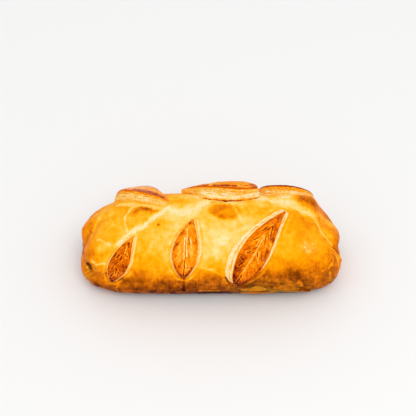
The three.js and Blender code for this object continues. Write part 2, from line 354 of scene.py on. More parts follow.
# ------------ the leaves

# A stroke on a leaf's top is (width in mm, change of browning, depth in mm, path), with the path as
# (share of the way from stalk to tip, share of the half width, left negative).
FRONT_LEFT_STROKES = (
    (1.1, -0.45, 0.3, ((0.79, 0), (0.67, 0.18))), (1.6, 0.22, 0.2, ((0.85, 0), (0.82, 0.16))),
    (1.3, 0.3, 0.4, ((0.61, -0.81), (0.55, -0.79))), (1.2, 0.32, 0.45, ((0.6, -0.36), (0.55, -0.43))),
    (1.2, 0.32, 0.45, ((0.58, 0), (0.52, 0.02))), (1.1, 0.28, 0.45, ((0.65, 0.26), (0.61, 0.55))),
    (1.2, 0.32, 0.45, ((0.38, -0.42), (0.32, -0.53))), (1.2, 0.3, 0.45, ((0.35, -0.01), (0.24, 0.08))),
    (1.4, 0.34, 0.4, ((0.24, -0.21), (0.17, -0.52))), (1.2, 0.26, 0.4, ((0.29, 0.32), (0.23, 0.46))),
    (2.2, 0.2, 0.2, ((0.46, 0.48), (0.44, 0.5))),
)
FRONT_MIDDLE_STROKES = (
    (1.1, -0.5, 0.25, ((0.79, -0.3), (0.65, -0.05), (0.52, 0.07), (0.4, 0.18))),
    (1.1, -0.5, 0.25, ((0.65, -0.25), (0.49, -0.09), (0.36, -0.02))),
    (0.9, 0.2, 0.3, ((0.72, -0.22), (0.55, -0.03), (0.4, 0.07), (0.3, 0.06))),
    (0.9, 0.42, 0.4, ((0.32, 0.06), (0.22, 0.09), (0.07, 0.01))),
    (2.4, 0.42, 0.2, ((0.9, -0.37), (0.895, -0.33))), (3, 0.26, 0.15, ((0.56, -0.76), (0.54, -0.73))),
    (2.6, 0.22, 0.15, ((0.77, -0.74), (0.72, -0.72))), (1, 0.34, 0.45, ((0.65, 0.11), (0.57, 0.3))),
    (1.6, -0.28, 0.1, ((0.66, 0.36), (0.54, 0.46))), (4.4, -0.16, 0.05, ((0.5, -0.42), (0.42, -0.4))),
    (4.4, -0.14, 0.05, ((0.5, 0.5), (0.36, 0.56))), (1, 0.22, 0.4, ((0.49, -0.25), (0.4, -0.36))),
    (1, 0.24, 0.4, ((0.46, 0.24), (0.38, 0.43))), (1.8, 0.16, 0.2, ((0.25, -0.46), (0.23, -0.44))),
    (1.4, 0.34, 0.3, ((0.23, 0.41), (0.225, 0.43))), (2.6, 0.2, 0.1, ((0.24, 0.9), (0.1, 0.65))),
    (2.6, 0.2, 0.1, ((0.24, -0.9), (0.1, -0.6))),
)
FRONT_RIGHT_STROKES = (
    (1.1, 0.46, 0.4, ((0.03, -0.1), (0.16, -0.05))),
    (1.3, -0.38, 0.35, ((0.2, -0.06), (0.29, -0.03), (0.37, 0.02), (0.46, 0), (0.59, -0.07))),
    (1, -0.34, 0.25, ((0.46, -0.19), (0.55, -0.2), (0.66, -0.08))),
    (1, -0.36, 0.25, ((0.37, 0.39), (0.45, 0.25))), (1, 0.16, 0.3, ((0.46, -0.1), (0.56, -0.13), (0.74, 0))),
    (1, 0.38, 0.45, ((0.64, -0.53), (0.7, -0.39))), (1, 0.38, 0.45, ((0.51, -0.59), (0.55, -0.44))),
    (1, 0.38, 0.45, ((0.37, -0.52), (0.4, -0.36))), (1, 0.38, 0.45, ((0.23, -0.67), (0.28, -0.46))),
    (1, 0.3, 0.4, ((0.31, -0.78), (0.29, -0.36))), (1, 0.34, 0.45, ((0.74, 0.1), (0.63, 0.44))),
    (1, 0.3, 0.45, ((0.6, 0.08), (0.53, 0.33))), (1, 0.26, 0.4, ((0.42, 0.17), (0.4, 0.27))),
    (4, 0.16, 0.1, ((0.9, -0.3), (0.73, 0.48), (0.61, 0.67))), (3, 0.14, 0.1, ((0.49, 0.71), (0.41, 0.8))),
    (2.6, 0.22, 0.1, ((0.08, 0.95), (0.2, 0.94), (0.32, 0.9))), (6, 0.2, 0.1, ((0.12, -0.5), (0.32, -0.6))),
    (3, 0.16, 0.1, ((0.24, -0.95), (0.1, -0.9))), (2, -0.3, 0, ((0.57, 0.79), (0.53, 0.82))),
)


def vein(start, end, change=0.24):
    """A stroke for a cut vein of a back leaf."""
    return 1, change, 0.4, (start, end)


BACK_LEFT_STROKES = (
    (3.6, 0.34, 0.1, ((0.5, 0.86), (0.68, 0.8), (0.9, 0.6))), (3, 0.2, 0.1, ((0.62, 0.45), (0.78, 0.4))),
    (2.4, 0.22, 0.1, ((0.5, -0.96), (0.76, -0.96))), (4, 0.26, 0.1, ((0.1, -0.2), (0.2, 0.6))),
    (2.6, 0.2, 0.1, ((0.42, -0.8), (0.65, -0.85))), vein((0.32, 0.14), (0.39, 0.5)),
    vein((0.48, 0.14), (0.55, 0.5)), vein((0.29, -0.14), (0.37, -0.5)), vein((0.46, -0.14), (0.54, -0.5)),
    vein((0.64, -0.14), (0.71, -0.48), 0.22),
)
BACK_MIDDLE_STROKES = (
    (3.4, 0.4, 0.3, ((0.28, -0.7), (0.44, -0.76), (0.56, -0.74))),
    (3, 0.46, 0.3, ((0.64, -0.62), (0.72, -0.66), (0.82, -0.5))), (3, 0.22, 0.1, ((0.06, 0.4), (0.1, -0.3))),
    (2.2, 0.22, 0.2, ((0.14, -0.6), (0.22, -0.5))), vein((0.24, 0.16), (0.32, 0.55)),
    vein((0.4, 0.16), (0.48, 0.58)), vein((0.56, 0.16), (0.64, 0.56), 0.22),
    vein((0.28, -0.2), (0.36, -0.56), 0.22), vein((0.46, -0.2), (0.54, -0.58), 0.22),
)
BACK_RIGHT_STROKES = (
    (5, 0.3, 0.1, ((0.36, -0.2), (0.5, -0.25))),
    (1.2, -0.25, 0.3, ((0.16, 0), (0.45, 0.04), (0.7, 0), (0.88, 0))), vein((0.28, 0.16), (0.36, 0.52)),
    vein((0.56, 0.16), (0.63, 0.52)), vein((0.3, -0.16), (0.38, -0.55)), vein((0.56, -0.16), (0.64, -0.55)),
    (3, 0.16, 0.1, ((0.72, 0.7), (0.9, 0.3))),
)

HEEL_ENDS = (0.7, 0.78)


@dataclass
class Leaf:
    """A puffed piece of pastry that lies on the skin, from its stalk end to its tip, as in the CAD part."""

    name: str
    stalk: tuple
    tip: tuple
    width: float
    height: float
    bow: float = 0
    # How far the foot stands out beyond the top, at the stalk end and at the tip: on each side, and ahead.
    left: tuple = (0.4, 0.4)
    right: tuple = (0.4, 0.4)
    kept: tuple = (0.45, 0.85)  # share of it that the narrow stalk end and tip keep
    toe: tuple = (0, 0)
    widest: float = 0.45
    ends: tuple = (0.3, 0.3)  # height at the stalk end and at the tip, as shares
    # Browning of the top's middle, and what its margins, its stalk end and its tip add to it.
    top: float = 0.5
    margin: float = 0.1
    stalk_end: float = 0
    tip_end: float = 0
    # Browning of the wall above and below slab, a share of the height where there may be a crevice, darkened
    # with painted shade.
    wall: tuple = (0.3, 0.1)
    slab: float = 0.6
    crevice: float = 0
    rim: float = 0.08  # how much browner than the top its rim is
    under: float = 0.15  # how much browner the line along its foot is: painted shade where the leaf meets the skin, paler where negative
    layers: float = 5
    right_wall_shade: float = 0  # how much browner its right wall is towards the stalk: painted shade along that side of the leaf
    heel: float = 0  # how far the lower pale layer steps out on the left, up to HEEL_ENDS of the way
    painted_glints: float = 0.08  # how much paler the glints on its top are: pale specks painted as highlights on the glaze
    greasy: float = 0
    glaze: float = 0
    strokes: tuple = ()
    ring: float = 0  # how clearly a pale ring shows in the loaf's skin round the leaf


LEAVES = (
    Leaf(
        "leaf_front_left", (-85, 60), (-66, 22), 15.6, 3.2, bow=-1.2,
        left=(2, 1.8), right=(2.4, 3.8), toe=(1, 2), widest=0.43,
        top=0.82, margin=0.02, stalk_end=0.42, tip_end=-0.2, wall=(0.24, 0.16), slab=0.5, crevice=0.4,
        layers=1.5, rim=0.04, painted_glints=0.3, strokes=FRONT_LEFT_STROKES, ring=0.8,
    ),
    Leaf(
        "leaf_front_middle", (-23.6, 62.3), (-15.6, 8.2), 19.8, 3.6, bow=-2,
        left=(2.2, 1.8), right=(1.8, 5.4), toe=(1, 2), widest=0.43,
        top=0.6, margin=0.08, stalk_end=0.45, tip_end=0.08, wall=(0.24, 0.14), slab=0.5, crevice=0.4,
        layers=2, rim=0.04, painted_glints=0.2, strokes=FRONT_MIDDLE_STROKES, ring=1,
    ),
    Leaf(
        "leaf_front_right", (20.5, 69), (64, -3.8), 21, 4.2, bow=-2.2,
        left=(7.4, 5.4), right=(2.2, 3), toe=(1, 3), widest=0.36,
        top=0.7, margin=0.06, stalk_end=0.46, tip_end=0.1, wall=(0.1, 0.05), slab=0.45, crevice=0.8,
        layers=2.5, rim=0.04, right_wall_shade=1, strokes=FRONT_RIGHT_STROKES, ring=0.6,
    ),
    Leaf(
        "leaf_back_left", (-84, -51.5), (-36.5, -11.5), 15.6, 9.1, bow=1.1,
        left=(3.4, 1.6), right=(5.6, 4.6), widest=0.38, ends=(0.56, 0.2),
        top=0.52, margin=0.08, stalk_end=0.2, tip_end=0.2, wall=(0.54, 0.24), slab=0.62,
        under=0.25, rim=0.24, glaze=0.8, strokes=BACK_LEFT_STROKES, ring=0.3,
    ),
    Leaf(
        "leaf_back_middle", (41, -30), (-27, -35), 21.5, 10.6, bow=-1,
        left=(2, 4.4), right=(4, 4), kept=(0.45, 0.05), toe=(3, 0), widest=0.28,
        ends=(0.45, 0.22), top=0.5, margin=0.06, stalk_end=0.34, tip_end=0.34, wall=(0.31, 0.12),
        slab=0.5, crevice=0.25, under=0.85, rim=0.34, heel=6.5, strokes=BACK_MIDDLE_STROKES,
    ),
    Leaf(
        "leaf_back_right", (38, -53.5), (89, -34), 19, 8.9, bow=2,
        left=(4, 4), right=(1.4, 2), kept=(0, 0.5), widest=0.45, ends=(0.15, 0.25),
        top=0.72, margin=0.18, stalk_end=0.1, tip_end=0.12, wall=(0.43, 0.24), slab=0.45,
        under=-0.16, rim=0.26, strokes=BACK_RIGHT_STROKES, ring=0.2,
    ),
)


def flake(number, stalk, tip, width, height, top, bow=0, greasy=0):
    name, wall = f"flake_{number}", (0.85, 1.05)
    return Leaf(name, stalk, tip, width, height, bow=bow, top=top, margin=-0.1, wall=wall, greasy=greasy)


# Flakes along the front's foot: number, both ends, width, height and browning
FLAKES = (
    flake(1, (13, 76), (23, 69), 4.6, 0.8, 0.92, greasy=0.2),
    flake(2, (32, 76), (20, 70), 4.6, 0.8, 1.05),
    flake(3, (24, 78), (46, 74.5), 3.8, 0.8, 0.84, bow=0.8, greasy=0.8),
    flake(4, (34, 75), (47, 74.5), 2.6, 1.2, 0.66, bow=-0.7, greasy=0.9),
    flake(5, (50, 79.5), (57, 76.5), 2.2, 0.9, 0.76, greasy=0.6),
    flake(6, (52, 73), (76, 70), 2.4, 0.7, 0.84, bow=-0.8, greasy=0.2),
    flake(7, (60, 77), (79, 74), 2.8, 0.9, 0.92, bow=0.8, greasy=0.8),
    flake(8, (25, 83), (54, 81.5), 3.4, 1, 0.84, bow=0.8, greasy=0.4),
    flake(9, (80, 76.5), (88, 74), 2.6, 0.9, 0.84),
    flake(10, (-17, 80), (8, 80.5), 1.8, 0.7, 0.82, bow=-0.6, greasy=0.15),
    flake(11, (-44, 85), (-20, 83.5), 2, 0.6, 0.86),
)


def leaf_frame(leaf):
    stalk = np.array(leaf.stalk, float)
    along = np.array(leaf.tip, float) - stalk
    length = np.linalg.norm(along)
    return stalk, along, np.array((-along[1], along[0])) / length, length


def eased(t, widest):
    """The share of the way along a leaf, bent so that it is a half where the leaf is widest."""
    return np.clip(t, 0, 1) ** (log(0.5) / log(widest))


def fullness(t, widest):
    return np.clip(np.sin(pi * eased(t, widest)), 0, 1) ** LEAF_POINTEDNESS


def bowed(leaf, t):
    return leaf.bow * np.sin(pi * eased(t, leaf.widest))


def flare_at(leaf, t, side):
    """How far the leaf's foot stands out beyond its top on one side."""
    flare = np.where(side < 0, lerp(*leaf.left, t), lerp(*leaf.right, t))
    return flare * np.minimum(1, lerp(*leaf.kept, t) + FLARE_GROWTH * fullness(t, leaf.widest))


def toe_at(leaf, t):
    """How far the leaf's foot runs on beyond its top, along the leaf."""
    at_stalk, at_tip = leaf.toe
    return at_tip * smoothstep(1 - TOE_REACH, 1, t) - at_stalk * smoothstep(TOE_REACH, 0, t)


def leaf_half(leaf, t, side):
    """Half the width of the leaf's foot on one side, from its centre line."""
    return leaf.width / 2 * fullness(t, leaf.widest) + LEAST_HALF_WIDTH + flare_at(leaf, t, side)


def outside_of_leaf(leaf, places):
    """Distance on the skin from the leaf's foot, negative under the leaf."""
    stalk, along, sideways, length = leaf_frame(leaf)
    t = np.linspace(*LEAF_ENDS, 60)
    edges = []
    for side in (-1, 1):
        offset = side * leaf_half(leaf, t, side) + bowed(leaf, t)
        edge = stalk + along * (t + toe_at(leaf, t) / length)[:, None] + sideways * offset[:, None]
        edges.append(edge if side < 0 else edge[::-1])
    outline = np.concatenate(edges + [edges[0][:1]])
    offset = places - stalk
    t = offset @ along / length**2
    across = offset @ sideways - bowed(leaf, t)
    first, last = LEAF_ENDS[0] - leaf.toe[0] / length, LEAF_ENDS[1] + leaf.toe[1] / length
    within = (t > first) & (t < last) & (np.abs(across) < leaf_half(leaf, np.clip(t, *LEAF_ENDS), across))
    distance = distance_to_path(places, outline)
    return np.where(within, -distance, distance)


LEAF_STEP = 0.5
WALL_POINTS = 19
TOP_POINTS = 49
VEIN_SLANT = 1.3  # how steeply the veins run back from the midrib
THICK_WALL = 7  # height from which a wall shows all its texture


def stations_of(leaf, number, length):
    """The leaf's rings of points: share of the way, run, fullness, half width, height and raggedness."""
    t = np.linspace(*LEAF_ENDS, ceil(length / LEAF_STEP) + 1)
    run, full = t * length, fullness(t, leaf.widest)
    half = leaf.width / 2 * full + LEAST_HALF_WIDTH
    height = leaf.height * lerp(lerp(*leaf.ends, t), 1, np.sqrt(full))
    line = np.column_stack((run, np.full(len(t), 37 * number)))
    ragged = 0.25 * noise_a(line, 5, 2) + 0.12 * noise_b(line, 1.6)
    return SimpleNamespace(t=t, run=run, full=full, half=half, height=height, ragged=ragged)


def wall_columns(leaf, number, side, at):
    """One wall, by station and point from foot to rim: across, run, rise, browning and flakiness."""
    up = np.linspace(0, 1, WALL_POINTS)[None, :]
    t, high = at.t[:, None], at.height[:, None] * up
    along = at.run[:, None] + 0 * high
    spot = np.column_stack((along.ravel(), high.ravel(), np.full(high.size, 7.3 * number + side)))

    def noise(source, fine_along, fine_up, shift=0, octaves=2):
        return source(spot * (fine_along, fine_up, 1) + shift, 1, octaves).reshape(high.shape)

    wander = noise(noise_c, 0.1, 0.1)
    frill = noise(noise_b, 0.5, 0.9)
    strands = noise(noise_a, 0.9, 0.16)
    sheets = noise(noise_b, 0.1, 1.3, 3.1)
    breaks = smoothstep(-0.3, 0.4, noise(noise_b, 0.14, 0.6, 9.7, 1))
    middle = np.sin(pi * up) ** 0.6
    bulk = np.minimum(1, at.height / THICK_WALL)[:, None]
    layers = np.sin(2 * pi * (leaf.layers * up + 0.9 * wander))
    crevice = leaf.crevice * bell(up - leaf.slab - 0.1 * wander, 0.07)

    heel = leaf.heel * (side < 0) * smoothstep(0, HEEL_ENDS[0], t) * smoothstep(*HEEL_ENDS[::-1], t)
    slope = (1 - up) ** 1.15
    out = slope * (flare_at(leaf, t, side) + heel * np.maximum(0, 1 - up / leaf.slab))
    out = out + bulk * (0.28 * layers + 0.3 * frill + 0.15 * strands) * middle - 0.9 * crevice
    across = side * (at.half[:, None] + np.maximum(out, 0) + (at.ragged * at.full)[:, None])
    along = along + toe_at(leaf, t) * slope

    upper, lower = leaf.wall
    layered = 1 - (leaf.heel > 0) * smoothstep(*HEEL_ENDS, t)
    above = smoothstep(leaf.slab - 0.12, leaf.slab + 0.2, up + 0.12 * wander)
    brown = lerp(upper, lerp(lower, upper, above), layered)
    brown = brown + 0.4 * np.maximum(layers, 0) ** 3 * breaks * middle
    brown = brown + bulk * (0.17 * frill + 0.11 * strands + 0.2 * sheets)
    # The crevice is darkened too, painted shade in its recess
    brown = brown + 0.5 * crevice * (0.7 + wander)
    brown = brown - 0.12 * layered * bulk * bell(up - leaf.slab + 0.06, 0.05)
    # Painted shade along the wall's foot, where the leaf meets the skin
    foot = smoothstep(0.17, 0.05, up) * (1 - bell(t - np.mean(HEEL_ENDS), 0.06))
    brown = brown + leaf.under * foot * (0.8 + 0.5 * wander)
    # Painted shade on the right wall towards the stalk
    brown = brown + (side > 0) * leaf.right_wall_shade * smoothstep(0.42, 0.12, t)
    brown = lerp(brown, leaf.top + leaf.margin + leaf.rim, 0.9 * smoothstep(0.84, 0.96, up))
    pale = smoothstep(0.95, 0.6, up) * np.clip(1 - upper, 0, 1) + 0 * brown
    return across, along, high + 0 * across, brown, pale


def leaf_top(leaf, number, at):
    """The browned top, by station and point from left to right: across, run, rise, browning and flakiness."""
    share = np.linspace(-1, 1, TOP_POINTS + 2)[None, 1:-1]
    edge = np.abs(share)
    t = at.t[:, None]
    across = share * (at.half + at.ragged * at.full)[:, None]
    along = at.run[:, None] + 0 * across
    spot = np.column_stack((along.ravel(), across.ravel(), np.full(across.size, 9.1 * number)))
    slant = np.column_stack((spot[:, 0] + VEIN_SLANT * np.abs(spot[:, 1]), 0.28 * spot[:, 1], spot[:, 2]))

    def noise(source, points, size, octaves=2):
        return source(points, size, octaves).reshape(across.shape)

    lumps = noise(noise_a, spot, 7)
    dents = noise(noise_c, spot, 2.2)
    veins = noise(noise_b, slant, 1.3)
    fibres = noise(noise_c, slant + 4.4, 0.8, 1)
    # Pale specks on the top, painted glints of light on the glaze
    painted_glints = smoothstep(0.45, 0.85, noise(noise_a, slant * (1, 1.2, 1), 1.9))
    rib = MIDRIB_DEPTH * bell(across, MIDRIB_HALF_WIDTH) * 0.5
    dome = LEAF_DOME * (1 - edge**2) + 0.3 * bell(edge - 0.97, 0.1)
    size = np.minimum(1, leaf.width / 16) * at.full[:, None]
    rise = at.height[:, None] + size * (dome - rib + 0.3 * lumps + 0.16 * veins + 0.14 * dents)
    brown = leaf.top + leaf.margin * smoothstep(0.5, 1, edge) + leaf.rim * smoothstep(0.88, 1, edge)
    brown = brown + leaf.stalk_end * smoothstep(0.16, 0.02, t) + leaf.tip_end * smoothstep(0.84, 0.95, t)
    brown = brown + 0.11 * lumps + 0.06 * veins + 0.1 * dents + 0.07 * fibres
    brown = brown + 0.16 * smoothstep(0.22, 0.55, veins) - leaf.painted_glints * painted_glints * (1 - edge**4)

    wobble = 0.3 * np.column_stack((noise_a(spot + 5.1, 2.2), noise_b(spot + 5.1, 2.2)))
    taper = 1 + 0.5 * noise(noise_c, spot + 3.3, 1.8, 1)
    for width, change, depth, path in leaf.strokes:
        near = distance_to_path(spot[:, :2] + wobble, stroke_path(leaf, at, path)).reshape(across.shape)
        mark = smoothstep(1.4, 0.2, near / (width / 2 * taper))
        brown = brown + change * mark
        rise = rise - depth * mark
        if change > 0.25 and width < 2:  # a burnt cut has a pale lip, painted as the highlight along its edge
            brown = brown - 0.16 * bell(near - 0.95 * width, 0.45)
    return across, along, rise, brown, 0 * brown


def stroke_path(leaf, at, path):
    """A stroke's path in millimetres along and across the leaf."""
    length = at.run[-1] / at.t[-1]
    halves = [leaf.width / 2 * fullness(a, leaf.widest) + LEAST_HALF_WIDTH for a, _ in path]
    return [(a * length, b * half) for (a, b), half in zip(path, halves)]


def leaf_arrays(leaf, number):
    """The leaf's points in rings along it, their values for its material, and the rings' shape."""
    stalk, ahead, sideways, length = leaf_frame(leaf)
    at = stations_of(leaf, number, length)
    left = wall_columns(leaf, number, -1, at)
    right = wall_columns(leaf, number, 1, at)
    top = leaf_top(leaf, number, at)
    foot_across = np.column_stack((0.5 * right[0][:, 0], 0 * at.full, 0.5 * left[0][:, 0]))
    flat = 0 * foot_across
    foot = (foot_across, left[1][:, :1] + flat, flat, flat + 0.3, flat)
    parts = zip(left, top, [part[:, ::-1] for part in right], foot)
    across, along, rise, brown, pale = (np.concatenate(part, axis=1) for part in parts)
    offset = across + bowed(leaf, at.t)[:, None]
    places = stalk + ahead / length * along[:, :, None] + sideways * offset[:, :, None]
    points = skin_points(places.reshape(-1, 2), rise.ravel() - LEAF_SUNK)
    grain = np.column_stack((across.ravel(), along.ravel(), 2.5 * rise.ravel()))
    shiny = leaf.glaze + 0.7 * smoothstep(0.5, 0.9, noise_c(grain, 3.2, 2))
    gloss = np.minimum(1, shiny) * (pale.ravel() <= 0) * (brown.ravel() > 0.4)
    greasy = leaf.greasy * smoothstep(-0.8, 0.4, noise_b(grain * (1.1, 0.14, 1), 1, 2))
    values = dict(brown=brown.ravel(), pale=pale.ravel(), gloss=gloss, greasy=greasy, grain=grain)
    return points, values, across.shape


def add_object(name, data):
    thing = bpy.data.objects.new(name, data)
    bpy.context.scene.collection.objects.link(thing)
    return thing


def mesh_object(name, points, faces, attributes):
    """A smooth-shaded mesh from points in millimetres, with values at its points for its material."""
    mesh = bpy.data.meshes.new(name)
    mesh.from_pydata((points * MM).tolist(), [], faces)
    for key, values in attributes.items():
        flat = np.asarray(values, np.float32)
        vector = flat.ndim == 2
        kind = "FLOAT_VECTOR" if vector else "FLOAT"
        attribute = mesh.attributes.new(key, kind, "POINT")
        attribute.data.foreach_set("vector" if vector else "value", flat.ravel())
    mesh.shade_smooth()
    return add_object(name, mesh)


def ring_faces(stations, around):
    faces = []
    for i in range(stations - 1):
        for j in range(around):
            a, b = i * around + j, i * around + (j + 1) % around
            faces.append((a, b, b + around, a + around))
    faces.append(tuple(range(around))[::-1])
    faces.append(tuple((stations - 1) * around + j for j in range(around)))
    return faces


# ------------ the loaf


def box_cells(cells, size, centre_z):
    """The points and square faces of a box's top and four sides, and the loop round its open foot."""
    nx, ny, nz = cells
    corners = []

    def side(counts, fixed, value, flip):
        """The small squares of the side on which the fixed axis has one value."""
        a, b = np.meshgrid(*(np.arange(count) for count in counts), indexing="ij")
        quad = []
        for da, db in ((0, 0), (1, 0), (1, 1), (0, 1)):
            corner = [a + da, b + db]
            corner.insert(fixed, np.full_like(a, value))
            quad.append(np.stack(corner, axis=-1).reshape(-1, 3))
        corners.append(np.stack(quad[::-1] if flip else quad, axis=1))

    side((nx, ny), 2, nz, False)
    side((nx, nz), 1, 0, False)
    side((nx, nz), 1, ny, True)
    side((ny, nz), 0, nx, False)
    side((ny, nz), 0, 0, True)
    corners = np.concatenate(corners)
    counts = (nx + 1, ny + 1, nz + 1)
    keys = np.ravel_multi_index(np.moveaxis(corners, -1, 0), counts)
    unique, faces = np.unique(keys, return_inverse=True)
    lattice = np.stack(np.unravel_index(unique, counts), axis=-1)
    loop = [(i, 0, 0) for i in range(nx)] + [(nx, j, 0) for j in range(ny)]
    loop += [(i, ny, 0) for i in range(nx, 0, -1)] + [(0, j, 0) for j in range(ny, 0, -1)]
    foot = np.searchsorted(unique, np.ravel_multi_index(np.transpose(loop[::-1]), counts))
    points = (lattice / np.array(cells) - 0.5) * np.array(size) + (0, 0, centre_z)
    return points, faces.reshape(-1, 4).tolist(), foot.tolist()


# Paler and browner patches: (x, s, reach along x, reach along s, amount), and then the turn in degrees of
# those that don't lie along the loaf
PALE_PATCHES = (
    (-25, 0, 17, 8, 1.1, 2), (-37, -5, 8, 5, 0.9, -20), (-7, -11, 6, 5.5, 0.95, -30),
    (64, -16, 16, 8.5, 1, 14), (65, -25, 9, 8, 1), (42, -13, 10, 3, 0.45, 38),
    (84, -6, 9, 4, 0.95, 5), (75, -11, 9, 5, 0.9, 14), (-5.5, -13, 4.5, 5.5, 0.95, 20),
    (45, -22, 9, 6.5, 1, 20), (31, 15, 10, 5, 0.55, -40), (-38, 44, 5, 12, 0.22), (-52, 37, 8, 3, 0.25),
    (-30, 16, 6, 8, 0.35, 30), (-64, 19, 5, 6, 0.45), (-5, 32, 4, 20, 0.3), (5, 24, 5, 14, 0.22),
    (14, 46, 4, 8, 0.22), (-94, 24, 5, 4, 0.25, 30), (-99, -20, 7, 6, 0.35), (16, 57, 4, 8, 0.3),
    (8, -62, 16, 5, 0.5, 8), (-60, -60, 9, 6, 0.4, 40),
)
BROWN_PATCHES = (
    (-55, -4.5, 6.5, 3.2, 0.44, 15), (-66, -3, 5, 3.5, 0.2), (-46, -3.5, 4, 1.8, 0.3, -10),
    (-26, -13, 8, 4, 0.18), (33, -2, 11, 12, 0.12), (-15, 10, 4, 5, 0.1), (-88, 12, 6, 8, 0.04),
    (76, 8, 10, 9, 0.06), (81, -20, 12, 7.5, 0.24, 20), (93, -17, 6, 8, 0.1), (97, -4, 5, 5, 0.1),
    (99, 42, 8, 12, 0.12), (70, 53, 9, 5.5, 0.26, 10), (72, 60, 6, 5, 0.14), (52, 62, 8, 4, -0.08),
    (92, 62, 7, 5, -0.08), (84, 44, 9, 8, 0.08), (85, 62, 10, 6, 0.1), (2, 60, 14, 6, 0.16),
    (46, 62, 16, 9, 0.1, -20), (30, 72, 9, 6, 0.16), (-30, 68, 10, 9, 0.08), (-63, 66, 5, 9, 0.12),
    (-98, 60, 8, 12, 0.1), (2, 86, 18, 4, 0.4), (14, 74, 8, 6, 0.1), (5, 48, 7, 8, 0.14),
    (40, 57, 9, 6, 0.13), (16, -13, 6, 4, -0.16), (106, -8, 6, 7, -0.26), (75, -20, 7, 5, 0.24),
    (82, -31, 14, 5, -0.16), (-70, -20, 8, 4, -0.16), (55, -17, 6, 6, -0.14), (95, -12, 6, 5, -0.15),
    (-42, 8, 9, 8, 0.09), (-5, 0, 6, 6, 0.09), (55, 4, 6, 5, 0.13), (103, 9, 4.5, 6.5, -0.26),
    (20, 13, 9, 4, 0.1), (-86, 28, 6, 4, -0.1), (106, 28, 5, 5, 0.12), (36, 55, 6, 8, 0.12),
    (66, 83, 10, 5, 0.12), (68, 77, 30, 8, 0.22), (27, 66, 12, 5, 0.12), (104, 55, 6, 10, 0.08),
    (-76, 60, 8, 5, 0.16), (-104, 28, 6, 8, 0.1), (10, 85, 10, 4, 0.12), (74, 82, 8, 5, 0.16),
    (-15, 84, 6, 4, -0.14), (-16, -25, 10, 5, -0.14), (-44.8, 11.7, 1.1, 1.1, 0.6),
    (-91, 49, 1.2, 1.2, 0.35), (-50, 78, 2.2, 1.4, 0.4), (88, 74, 1.6, 1.2, 0.4), (-46, -30, 12, 9, 0.16),
    (44, -74, 22, 9, 0.2), (-34, -76, 26, 9, 0.22), (10, -48, 14, 6, 0.14), (-88, -54, 11, 13, 0.22),
    (96, -48, 10, 14, 0.2),
)

# Browned blisters with clear edges, as the patches above
SCORCHED = (
    (12, -1, 14, 9.5, 0.4, 6), (9, 6, 8, 4.5, 0.05),
)

# Browning down the skin, as (s, browning) from the back's foot over the ridge to the front's foot, and what
# is added along the loaf above its lower browned band, as (x, browning). The lower band and the browner ends
# are partly real browning and partly painted shade.
BROWNING_DOWN = (
    (-90, 1.08), (-78, 0.94), (-60, 0.7), (-45, 0.56), (-25, 0.48), (-8, 0.43), (6, 0.42), (18, 0.39),
    (30, 0.39), (40, 0.46), (48, 0.53), (56, 0.64), (64, 0.78), (72, 0.89), (80, 0.98), (90, 1.13),
)
BROWNING_ALONG = (
    (-113, 0.32), (-105, 0.24), (-95, 0.04), (-80, 0.02), (-60, 0), (-40, -0.05), (-10, -0.13), (0, -0.17),
    (20, -0.18), (36, -0.1), (50, 0.04), (64, 0.06), (75, 0.1), (88, 0.15), (97, 0.15), (105, 0.26),
    (113, 0.32),
)
LOWER_BAND = (46, 66)  # lengths down the skin between which its lower, browner band sets in; the band is partly painted shade
ALONG_ENDS = (78, 52)  # and those between which the browning along the loaf does, from below

# Where the glaze is specked with burnt dots, as the patches above
SPECKLED = (
    (97, 37, 7, 9, 1), (84, 56, 12, 7, 0.7), (-98, 52, 9, 12, 0.6), (50, 60, 16, 8, 0.5),
    (-30, 70, 30, 8, 0.5), (86, -20, 10, 7, 0.5), (20, -66, 60, 14, 0.5),
)

# Where the glaze pooled and shines, with painted glints where it shines most, and where the dough stayed
# greasy, as the patches above
GLOSSY = (
    (82.5, 29, 5.5, 4.5, 1, 20), (86, 20, 8, 8, 0.15), (-96, 10, 9, 14, 0.15),
)
GREASY_PATCHES = (
    (38, 80, 14, 5, 0.35), (68, 78, 14, 4, 0.3), (64, 76, 36, 10, 0.34), (104, 58, 5, 12, 0.3),
    (-106, 48, 4, 14, 0.3),
)


def patch_share(places, patch, edge=0):
    """How much of a patch there is at these places. It fades out all the way, or over its edge."""
    x, s, reach_x, reach_s, amount, turn = (*patch, 0)[:6]
    angle = radians(turn)
    offset = places - (x, s)
    along = offset[:, 0] * cos(angle) + offset[:, 1] * sin(angle)
    across = offset[:, 1] * cos(angle) - offset[:, 0] * sin(angle)
    away = np.hypot(along / reach_x, across / reach_s)
    return amount * (smoothstep(1 + edge, 1 - edge, away) if edge else bell(away, 1))


def sum_of_patches(places, patches, edge=0):
    return sum(patch_share(places, patch, edge) for patch in patches)


def wandering(places, points, coarse, fine):
    """The places moved about by noise, so that what is drawn from them has natural edges."""
    shift = np.column_stack((noise_a(points, 9, 2), noise_b(points, 9, 2))) * coarse
    jitter = np.column_stack((noise_b(points, 2.6, 2), noise_c(points, 2.6, 2))) * fine
    return places + shift + jitter


UNDERNEATH = 0.7 * pi  # turn beyond which the skin lies under the loaf
CRACKS_BEHIND = -30  # cracks that start further back wander more
RING_AT = 2.6  # distance from a leaf's foot to the pale ring round it


def tears(plain, soft, ragged, clear):
    """How pale the skin is in its splits and pale patches, and how far the splits raise it."""
    pale, rise = np.zeros((2, len(plain)))
    uneven = 1 + 0.35 * noise_c(plain, 5, 2)
    for width, depth, paleness, path in CRACKS:
        near = distance_to_path(soft if path[0][1] < CRACKS_BEHIND else ragged, path)
        pale = np.maximum(pale, paleness * smoothstep(1.6, 0.4, near / (width / 2 * uneven)))
        rise += clear * (0.22 * bell(near - 0.8 * width, 0.9) - depth * bell(near, width / 2))
    for patch in PALE_PATCHES:
        pale = np.maximum(pale, patch_share(soft, patch))
    return pale, rise


